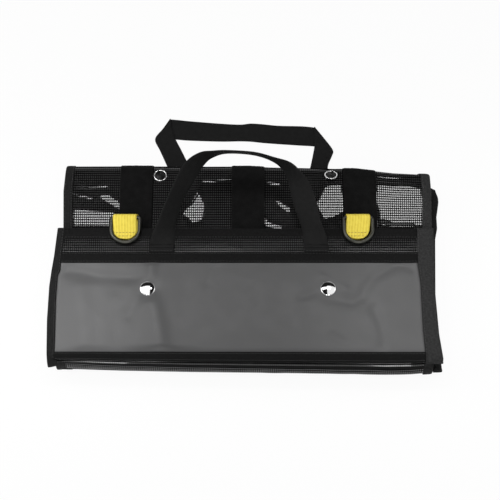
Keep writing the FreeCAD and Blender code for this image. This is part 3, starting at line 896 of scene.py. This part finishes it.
def build_seams():
    """Strips over the three seams."""
    spine = constant(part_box("spine_binding_left")[0].x - 1 * MM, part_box("spine_binding_right")[1].x - 4 * MM)
    seam_strip("seam_front", BOTTOM, SEAM_ANGLE, spine, rolled_seam)
    seam_strip("seam_spine", BOTTOM, SPINE_ANGLE, spine)
    low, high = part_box("top_flap_panel")
    seam_strip("seam_flap", TOP, SEAM_ANGLE, constant(low.x + 2 * MM, high.x - 3 * MM))


def build_front():
    """Front mesh panel with its bindings."""
    run = (BOTTOM.along(SEAM_ANGLE), FRONT_HEIGHT - TAPE)

    def wave(x, s):
        return front_wave(x, s) + crease_wave(x, s)

    panel = mesh_panel("front_sheet", BOTTOM, front_edges, run, 3 * MM, wave, "front", "front_panel")
    trims = []
    for side, word in enumerate(SIDES):
        tape = side_binding("front_edge_" + word, BOTTOM, side, front_edges, grey_edges,
                            (run[0], FRONT_HEIGHT))
        dress(tape, SIDE_TAPE[word], "front", "front_binding_" + word)
        seam = side_stitches("front_stitches_" + word, BOTTOM, side, inside(grey_edges, -SEWN_IN),
                             (run[0] + 4 * MM, FRONT_HEIGHT), "front")
        trims += [tape, seam]
    inner = grey_edges(FRONT_HEIGHT)
    width = HEM_HIGH.y - HEM_LOW.y + 1.2 * MM
    hem = end_binding("front_top_edge", BOTTOM, (inner[0] - 0.5 * MM, inner[1] + 0.5 * MM), FRONT_HEIGHT,
                      width)
    dress(hem, "hem", "front", "front_top_binding")
    sewn = row_across(BOTTOM, inner, FRONT_HEIGHT - width + SEWN_IN, HALF_BINDING + 0.1 * MM)
    trims += [hem, stitches("front_top_stitches", [sewn], "front")]


def build_corners():
    """Lower ends of the front bindings, turned down over the spine."""
    bend = [BOTTOM.along(angle) for angle in CORNER_BEND_ANGLES]
    for side, word in enumerate(SIDES):
        run = (BOTTOM.along(CORNER_ANGLES[word]), BOTTOM.along(CORNER_TOP_ANGLE))
        tape = side_binding("front_corner_" + word, BOTTOM, side, front_edges, inside(front_edges, 10 * MM),
                            run, lambda x, s: 0.25 * MM, 1 * MM)
        dress(tape, SIDE_TAPE[word])
        blend_by_height(tape, BOTTOM, bend)


def build_pocket():
    """Grey vinyl pocket with its mouth tape and bottom tape."""
    bottom, tape_top = BOTTOM.along(POCKET_ANGLE), BOTTOM.along(BOTTOM_TAPE_ANGLE)
    vinyl = sheet("pocket_sheet", BOTTOM, grey_edges, (bottom + 2 * MM, POCKET_TOP - 3 * MM), SHEET / 2,
                  SHEET, 2.2 * MM, pocket_wave)
    dress(vinyl, "vinyl", "front", "front_pocket")
    face = SHEET * 1.5
    mouth = POCKET_TOP - (MOUTH_HIGH.y - MOUTH_LOW.y)
    width = inside(grey_edges, -0.5 * MM)
    upper = sheet("mouth_tape", BOTTOM, width, (mouth, POCKET_TOP), face - SUNK, TAPE, 3 * MM)
    dress(upper, "hem", "front", "pocket_mouth_tape")
    lower = sheet("bottom_tape", BOTTOM, width, (bottom, tape_top), face - SUNK, TAPE, 2 * MM)
    dress(lower, "hem", "front", "pocket_bottom_tape")
    rows = [row_across(BOTTOM, grey_edges(s), s, face + TAPE - 0.25 * MM)
            for s in (mouth + 1.4 * MM, POCKET_TOP - 1.4 * MM, bottom + 1.4 * MM, tape_top - 1.4 * MM)]
    seam = stitches("pocket_stitches", rows, "front")


def build_flap():
    """Top flap with its bindings and loop strips."""
    run = (TOP.along(SEAM_ANGLE), FLAP_LENGTH - TAPE)
    panel = mesh_panel("flap_sheet", TOP, flap_edges, run, 2 * MM, flap_wave, "top_flap", "top_flap_panel")
    width = width_of("top_flap_binding_left")
    full_run = (run[0], FLAP_LENGTH)
    trims = []
    for side, word in enumerate(SIDES):
        tape = side_binding("flap_edge_" + word, TOP, side, flap_edges, inside(flap_edges, width), full_run)
        dress(tape, SIDE_TAPE[word], "top_flap", "top_flap_binding_" + word)
        seam = side_stitches("flap_stitches_" + word, TOP, side, inside(flap_edges, width - SEWN_IN),
                             full_run, "top_flap")
        trims += [tape, seam]
    inner = flap_edges(FLAP_LENGTH)
    hem = end_binding("flap_hem", TOP, (inner[0] + width, inner[1] - width), FLAP_LENGTH, 9.5 * MM)
    trims.append(dress(hem, "tape", "top_flap", "top_flap_edge_binding"))
    trims += [loop_strip(word) for word in ("left", "middle", "right")]


def loop_strip(word):
    """Loop tape over the flap and round its crease, with a frayed nap, and the hook tape that it meets."""
    low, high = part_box("loop_strip_" + word)
    edges = constant(low.x, high.x)

    def nap(x, s):
        edge = min(x - low.x, high.x - x) / MM
        rough = ripple(x / MM, s / MM, 1.6, 1.6, 4.0)
        return (0.22 * rough - 0.5 * math.exp(-(edge / 0.8) ** 2)) * MM + flap_wave(x, s) * 0.4

    def loop_tape(name, run):
        return sheet(name, TOP, edges, run, SHEET / 2 - 0.2 * MM, LOOP + 0.1 * MM, 1.2 * MM, nap)

    strip = loop_tape("loop_tape_" + word, (TOP.along(SEAM_ANGLE), TOP.y - low.y))
    dress(strip, "pile", "top_flap", "loop_strip_" + word)
    around = loop_tape("loop_end_" + word, (TOP.along(WRAP_ANGLE), TOP.along(SEAM_ANGLE)))
    dress(around, "pile", "root", "loop_wrap_" + word)
    start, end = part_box("hook_strip_" + word)
    hooks = sheet("hook_tape_" + word, BOTTOM, constant(start.x, end.x),
                  (start.y - BOTTOM.y, end.y - BOTTOM.y), -SHEET / 2 - TAPE, TAPE, 2 * MM)
    dress(hooks, "hooks", "front", "hook_strip_" + word)
    return strip

# ---- fittings


def build_caps():
    """Chrome caps on the pocket: low domes with a rolled rim."""
    for word in SIDES:
        node = "snap_cap_" + word
        low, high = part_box(node)
        radius = (high.x - low.x) / 2
        base = POCKET_HIGH.z - low.z
        crown = high.z - low.z
        profile = [(AXIS, crown)]
        profile += [(radius * 0.93 * step / 12, crown - 1.3 * MM * (step / 12) ** 2.2)
                    for step in range(1, 13)]
        profile += [(radius * 0.985, base + 0.55 * MM), (radius, base + 0.2 * MM),
                    (radius * 0.97, base - 0.1 * MM), (radius * 0.8, base - 0.2 * MM),
                    (POST, base - 0.2 * MM), (POST, 0.0), (AXIS, 0.0)]
        dress(lathe("cap_" + word, profile, foot(node), 96), "chrome", "front", node)
        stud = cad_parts["snap_stud_" + word]
        stud.data.materials.clear()
        stud.data.materials.append(LOOKS["chrome"][1])


# how far each socket leans back with the crease, in degrees
SOCKET_LEAN = {"left": 3.0, "right": 24.0}


def lean_back(piece, centre, degrees):
    """Turn a piece's mesh about an X line through a point."""
    turn = Matrix.Rotation(math.radians(-degrees), 4, "X")
    piece.data.transform(Matrix.Translation(centre) @ turn @ Matrix.Translation(-centre))


def build_sockets():
    """Snap sockets of the flap: a thin rolled ring round a dark recess."""
    for word in SIDES:
        node = "flap_snap_" + word
        centre = foot(node)
        base = FLAP_Z + SHEET / 2 - centre.z
        wall = 0.62 * MM
        radius = width_of(node) / 2
        ring_middle = radius - wall
        bend = [(ring_middle + wall * math.sin(turn), base + 0.8 * MM + wall * math.cos(turn))
                for turn in (math.pi * (step / 10 - 0.5) for step in range(11))]
        profile = [(ring_middle - wall, base + 0.4 * MM)] + bend
        profile += [(radius, base - 0.2 * MM), (ring_middle - wall, base - 0.2 * MM)]
        ring = lathe("socket_" + word, profile, centre, 72, True)
        lean_back(ring, centre, SOCKET_LEAN[word])
        dress(ring, "chrome", "top_flap", node)
        inner = ring_middle - wall + 0.2 * MM
        plate = [(AXIS, base + 0.7 * MM), (1.5 * MM, base + 0.7 * MM), (1.9 * MM, base + 0.35 * MM),
                 (inner, base + 0.35 * MM), (inner, base - 0.1 * MM), (POST, base - 0.1 * MM),
                 (POST, 0.8 * MM), (4.4 * MM, 0.8 * MM), (4.4 * MM, 0.0), (AXIS, 0.0)]
        floor = lathe("socket_floor_" + word, plate, centre, 48)
        lean_back(floor, centre, SOCKET_LEAN[word])
        dress(floor, "socket_dark", "top_flap")


def build_rings():
    """D-rings of dark wire."""
    for word in SIDES:
        low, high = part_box("d_ring_" + word)
        centre_x = (low.x + high.x) / 2
        half = (high.x - low.x) / 2 - WIRE
        corner = 3.0 * MM
        path = []
        for cx, cy, radius, first, turn, runs in (
                (centre_x + half - corner, RING_BAR_Y - corner, corner, 0, 90, 8),
                (centre_x - half + corner, RING_BAR_Y - corner, corner, 90, 90, 8),
                (centre_x, low.y + WIRE + half, half, 180, 180, 48)):
            for run in range(runs + 1):
                angle = math.radians(first + turn * run / runs)
                path.append(Vector((cx + radius * math.cos(angle), cy + radius * math.sin(angle), RING_Z)))
        dress(wire_loop("ring_" + word, path, WIRE), "gunmetal", "d_ring_" + word, "d_ring_" + word)


# each tab as sewn by hand: shift of its lower layer, of its upper layer and of its sewn end, in millimetres
TAB_SET = {"left": (1.6, -0.8, 0.0), "right": (-1.6, 0.3, -1.4)}
TAB_CORNER = 10.0 * MM
TAB_FLAT = 12 * MM              # from the sewn end to where the upper layer rises to the ring
TAB_ROWS = (3.0 * MM, 6.8 * MM)


def build_tabs():
    """Yellow webbing folded round a ring's bar, sewn down with two rows of tan thread."""
    for word in SIDES:
        low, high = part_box("ring_tab_" + word)
        half = (high.x - low.x) / 2
        centre_x = (low.x + high.x) / 2
        under, shift, sewn_shift = (value * MM for value in TAB_SET[word])
        eye = WIRE + 0.35 * MM + TAPE / 2
        base = FRONT_Z + HALF_BINDING
        lower_z, upper_z = base + TAPE / 2 - 0.2 * MM, base + 1.5 * TAPE + 0.1 * MM
        sewn_y = low.y
        places = [(y, lower_z) for y in divide((sewn_y, RING_BAR_Y - 3 * MM), 14)]
        for step in range(17):
            angle = math.radians(-110 + 220 * step / 16)
            places.append((RING_BAR_Y + eye * math.cos(angle), RING_Z + eye * math.sin(angle)))
        for y in divide((RING_BAR_Y - eye * 0.5, sewn_y), 27)[1:]:
            free = (y - sewn_y - TAB_FLAT) / (RING_BAR_Y - sewn_y - TAB_FLAT)
            places.append((y, upper_z + (RING_Z + eye - upper_z) * ease(free)))
        pairs = []
        for number, (y, z) in enumerate(places):
            width = half
            rise = y - sewn_y
            if rise < TAB_CORNER:
                width = half - TAB_CORNER
                width += math.sqrt(max(0.0, TAB_CORNER ** 2 - (TAB_CORNER - rise) ** 2)) * 0.98
            share = ease((number - 16) / 14)
            along = ease((RING_BAR_Y - y) / (RING_BAR_Y - sewn_y))
            mid = centre_x + under + (shift - under) * share + (sewn_shift - shift) * along * share
            pairs.append((Vector((mid - width, y, z)), Vector((mid + width, y, z))))
        dress(webbing("tab_" + word, pairs, TAPE), "yellow", "front", "ring_tab_" + word)
        rows = []
        for rise in TAB_ROWS:
            reach = half - TAB_CORNER + math.sqrt(TAB_CORNER ** 2 - (TAB_CORNER - rise) ** 2) - 1.6 * MM
            y, z = sewn_y + rise, upper_z + TAPE / 2 + 0.08 * MM
            rows.append([Vector((centre_x + sewn_shift + reach * (step / 6 - 1), y, z))
                         for step in range(13)])
        stitches("tab_stitches_" + word, rows, "front", "tan_thread", 0.34 * MM)

# ---- handles


HANDLE_TILT = 25.0
HANDLE_ROOT = 14.0              # height over which the loop straightens from its sewn ends, in millimetres
KNUCKLE = 2.4 * MM              # how far the webbing bulges where it turns over its sewn end
# stations of the front handle: middle across from the panel's middle, rise up the loop, turn of the webbing
HANDLE_STATIONS = (
    (-80.0, 0.0, 6), (-77.4, 12, 30), (-75.0, 21, 45), (-69.8, 37, 51), (-64.6, 50, 54), (-58.0, 63.0, 50),
    (-49.5, 78.0, 50), (-39.0, 87.8, 64), (-28.5, 91.8, 79), (-13.5, 94.0, 87), (13.5, 92.2, 87),
    (33.9, 86.0, 83), (47.2, 78.5, 66), (55.0, 68.0, 51), (59.8, 58.0, 36), (65.0, 41.0, 28),
    (71.0, 21.0, 38), (74.0, 10.0, 26), (76.3, 0.0, 6),
)


def front_loop_pairs():
    """Edges of the front handle's free loop: flat at its ends, on edge along its top."""
    stations = smooth_steps([list(station) for station in HANDLE_STATIONS], 8)
    tilt = math.radians(HANDLE_TILT)
    up = Vector((0, math.cos(tilt), math.sin(tilt)))
    out = Vector((0, -math.sin(tilt), math.cos(tilt)))
    pairs = []
    for place, (across, rise, turn) in enumerate(stations):
        behind = stations[max(place - 1, 0)]
        ahead = stations[min(place + 1, len(stations) - 1)]
        way = Vector((ahead[0] - behind[0], ahead[1] - behind[1])).normalized()
        root = min(1.0, rise / HANDLE_ROOT)
        way = way.lerp(Vector((0, 1 if place * 2 < len(stations) else -1)), 1 - root).normalized()
        inward = Vector((way.y, 0, 0)) - up * way.x
        angle = math.radians(turn)
        half = (inward * math.cos(angle) - out * math.sin(angle)).normalized() * (WEBBING / 2)
        centre = Vector((FRONT_MIDDLE + across * MM, HANDLE_Y, HANDLE_Z)) + up * rise * MM
        pairs.append((centre - half, centre + half))
    return pairs


def level_pair(first_x, second_x, y, z):
    """Edge points of webbing that lies level."""
    return Vector((first_x, y, z)), Vector((second_x, y, z))


def build_front_handle():
    """Free loop of the front handle, its sewn ends and the knuckles where it turns over them."""
    pairs = front_loop_pairs()
    dress(webbing("front_handle_loop", pairs, TAPE), "webbing", "front_handle", "front_handle")
    z = FRONT_Z + SHEET / 2 + TAPE / 2
    for word, (first, second) in (("left", pairs[0]), ("right", reversed(pairs[-1]))):
        first, second = first.x, second.x
        low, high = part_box("front_handle_end_" + word)
        flat_end = [level_pair(first, second, y, z) for y in (low.y, low.y + 2 * MM, low.y + 5 * MM, high.y)]
        dress(webbing("handle_end_" + word, flat_end, TAPE), "webbing", "front", "front_handle_end_" + word)
        rows = [[Vector((first + (second - first) * (0.06 + 0.88 * step / 8), y, z + TAPE / 2 + 0.1 * MM))
                 for step in range(9)] for y in (low.y + 1.6 * MM, high.y - 1.6 * MM)]
        stitches("handle_stitches_" + word, rows, "front")
        bend = []
        for step in range(9):
            angle = math.pi * step / 8 - math.pi / 2
            bend.append(level_pair(first, second, HANDLE_Y - KNUCKLE * math.cos(angle),
                                   (z + HANDLE_Z) / 2 + (HANDLE_Z - z) / 2 * math.sin(angle)))
        knuckle = dress(webbing("handle_knuckle_" + word, bend, TAPE), "webbing")
        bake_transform(knuckle)


# rear handle, x and y of its edges in millimetres
REAR_LEFT_LEG = (((-90.5, 78.0), (-64.0, 80.0)), ((-86.0, 88.0), (-62.0, 90.0)),
                 ((-89.6, 99.0), (-67.2, 101.0)), ((-95.0, 111.5), (-72.8, 113.0)),
                 ((-100.1, 124.4), (-78.6, 125.0)), ((-92.0, 137.0), (-82.5, 137.0)),
                 ((-84.6, 148.9), (-84.0, 148.9)))
REAR_RIGHT_LEG = (((61.5, 78.0), (86.5, 78.0)), ((64.0, 88.0), (83.4, 88.0)), ((65.6, 95.0), (84.2, 95.2)),
                  ((67.8, 106.0), (88.0, 104.4)), ((69.3, 115.0), (88.9, 111.4)),
                  ((69.6, 127.0), (79.5, 126.0)), ((69.6, 139.0), (70.2, 139.0)))
REAR_GRIP = (((-84.4, 149.0), (-99.6, 125.0)), ((-76.0, 148.2), (-80.0, 124.6)),
             ((-63.3, 146.7), (-64.0, 123.2)), ((-31.1, 143.8), (-31.0, 122.0)),
             ((-9.7, 142.6), (-9.6, 122.3)), ((2.0, 143.9), (2.4, 121.8)), ((14.9, 143.0), (14.0, 120.4)),
             ((31.6, 141.2), (30.0, 119.0)), ((55.0, 140.6), (54.0, 117.2)), ((66.0, 139.6), (71.0, 115.9)),
             ((70.2, 138.8), (88.0, 111.8)))
# heights of the grip and of the legs' stations
GRIP_HEIGHT = 0.7
LEG_HEIGHTS = (0.7, 0.8, 1.0, 1.5, 1.9, 1.9, 1.9)


def flat_strap(name, edges, heights, *replaces):
    """Part of the rear handle, from pairs of edge points and its heights in millimetres."""
    keys = [[a[0], a[1], b[0], b[1], z] for (a, b), z in zip(edges, heights)]
    pairs = [(Vector((ax, ay, z)) * MM, Vector((bx, by, z)) * MM)
             for ax, ay, bx, by, z in smooth_steps(keys, 5)]
    dress(webbing(name, pairs, TAPE), "webbing", "rear_handle", *replaces)


def build_rear_handle():
    """Free loop of the rear handle, pressed flat with a folded corner at each side, and its sewn ends."""
    flat_strap("rear_grip", REAR_GRIP, [GRIP_HEIGHT] * len(REAR_GRIP), "rear_handle")
    flat_strap("rear_leg_left", REAR_LEFT_LEG, LEG_HEIGHTS)
    flat_strap("rear_leg_right", REAR_RIGHT_LEG, LEG_HEIGHTS)
    for word in SIDES:
        low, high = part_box("rear_handle_end_" + word)
        pairs = [level_pair(low.x, high.x, y, TAPE / 2)
                 for y in (low.y, low.y + 2 * MM, high.y - 2 * MM, high.y)]
        dress(webbing("rear_end_" + word, pairs, TAPE), "webbing", "root", "rear_handle_end_" + word)

# ---- floor, light and camera


FLOOR_GLOW = 0.94
# heights between which the surroundings darken, as the sine of an elevation, and brightness of the ceiling
HORIZON = (0.25, 0.6)
CEILING = 0.015
DIFFUSE_WORLD = 0.22


def build_stage():
    """White surface that keeps a soft shadow."""
    bpy.ops.mesh.primitive_plane_add(size=8, location=(0, 0, -0.0003))
    floor = bpy.context.object
    floor.name = "floor"
    g = Graph("floor", Base_Color=grey(0.92), Roughness=0.9, Specular_IOR_Level=0.1)
    rays = g.node("LightPath").outputs
    seen = g.math("MAXIMUM", rays["Is Camera Ray"], rays["Is Glossy Ray"])
    seen = g.math("MAXIMUM", seen, rays["Is Transmission Ray"])
    share = g.math("MULTIPLY", seen, FLOOR_GLOW)
    surface = g.fed(g.node("MixShader"), (share, g.shader.outputs[0], g.node("Emission").outputs[0]))
    g.feed(g.tree.nodes["Material Output"].inputs["Surface"], surface.outputs[0])
    floor.data.materials.append(g.material)


# soft boxes: name, place, point that it faces, size, and brightness of its face
SOFT_BOXES = (
    ("strip", (-0.17, 0.50, 1.43), (-0.17, 0.03, 0.03), (1.1, 0.2), 8.5),
    ("side_left", (-1.1, 0.15, 0.85), (0, 0, 0.03), (1.0, 0.6), 2.6),
    ("side_right", (1.2, 0.3, 0.7), (0, 0, 0.03), (0.7, 0.4), 1.6),
    ("near_left", (-0.29, -0.078, 0.20), (-0.29, -0.078, 0.0), (0.44, 0.245), 1.2),
    ("near_right", (0.29, -0.078, 0.20), (0.29, -0.078, 0.0), (0.44, 0.245), 1.0),
    ("low_left", (-0.27, -1.25, 0.60), (-0.15, -0.14, 0.03), (0.17, 0.7), 6.0),
    ("low_right", (0.26, -1.25, 0.60), (0.15, -0.14, 0.03), (0.15, 0.8), 7.0),
)


def area_light(name, place, aim, size, radiance):
    """Soft box with a given brightness of its face."""
    data = bpy.data.lights.new(name, "AREA")
    data.shape = "RECTANGLE"
    data.size, data.size_y = size
    data.energy = radiance * math.pi * size[0] * size[1]
    lamp = bpy.data.objects.new(name, data)
    bpy.context.scene.collection.objects.link(lamp)
    lamp.location = place
    lamp.visible_camera = False
    lamp.rotation_euler = (Vector(aim) - Vector(place)).to_track_quat("-Z", "Y").to_euler()


def build_light():
    """White surroundings with a dim ceiling, and the soft boxes."""
    world = bpy.context.scene.world or bpy.data.worlds.new("studio")
    bpy.context.scene.world = world
    world.use_nodes = True
    g = Nodes(world.node_tree)
    g.tree.nodes.clear()
    rays = g.node("LightPath").outputs
    height = g.node("SeparateXYZ", Vector=g.node("TexCoord").outputs["Generated"]).outputs[2]
    reflected = g.span(height, *HORIZON, 1.0, CEILING)
    mirrored = g.math("MAXIMUM", rays["Is Glossy Ray"], rays["Is Transmission Ray"])
    strength = g.mix(rays["Is Camera Ray"], g.mix(mirrored, DIFFUSE_WORLD, reflected), 1.0)
    g.node("OutputWorld", Surface=g.node("Background", Strength=strength).outputs[0])
    for box in SOFT_BOXES:
        area_light(*box)


CAMERA_ELEVATION = 65.0
CAMERA_DISTANCE = 1.7
CAMERA_TARGET = (0.001, -0.0214, 0.035)


def build_camera():
    """Camera above the front of the bag, looking down at it."""
    data = bpy.data.cameras.new("camera")
    data.sensor_width = 36.0
    data.lens = 121.1
    data.clip_start, data.clip_end = 0.05, 20.0
    camera = bpy.data.objects.new("camera", data)
    bpy.context.scene.collection.objects.link(camera)
    elevation = math.radians(CAMERA_ELEVATION)
    towards = Vector((0, -math.cos(elevation), math.sin(elevation)))
    camera.location = Vector(CAMERA_TARGET) + towards * CAMERA_DISTANCE
    camera.rotation_euler = (math.radians(90 - CAMERA_ELEVATION), 0, 0)
    bpy.context.scene.camera = camera


bpy.context.scene.view_settings.view_transform = "Standard"
build_back()
build_spine()
build_front()
build_pocket()
build_flap()
build_seams()
build_corners()
build_caps()
build_sockets()
build_rings()
build_tabs()
build_front_handle()
build_rear_handle()
build_stage()
build_light()
build_camera()
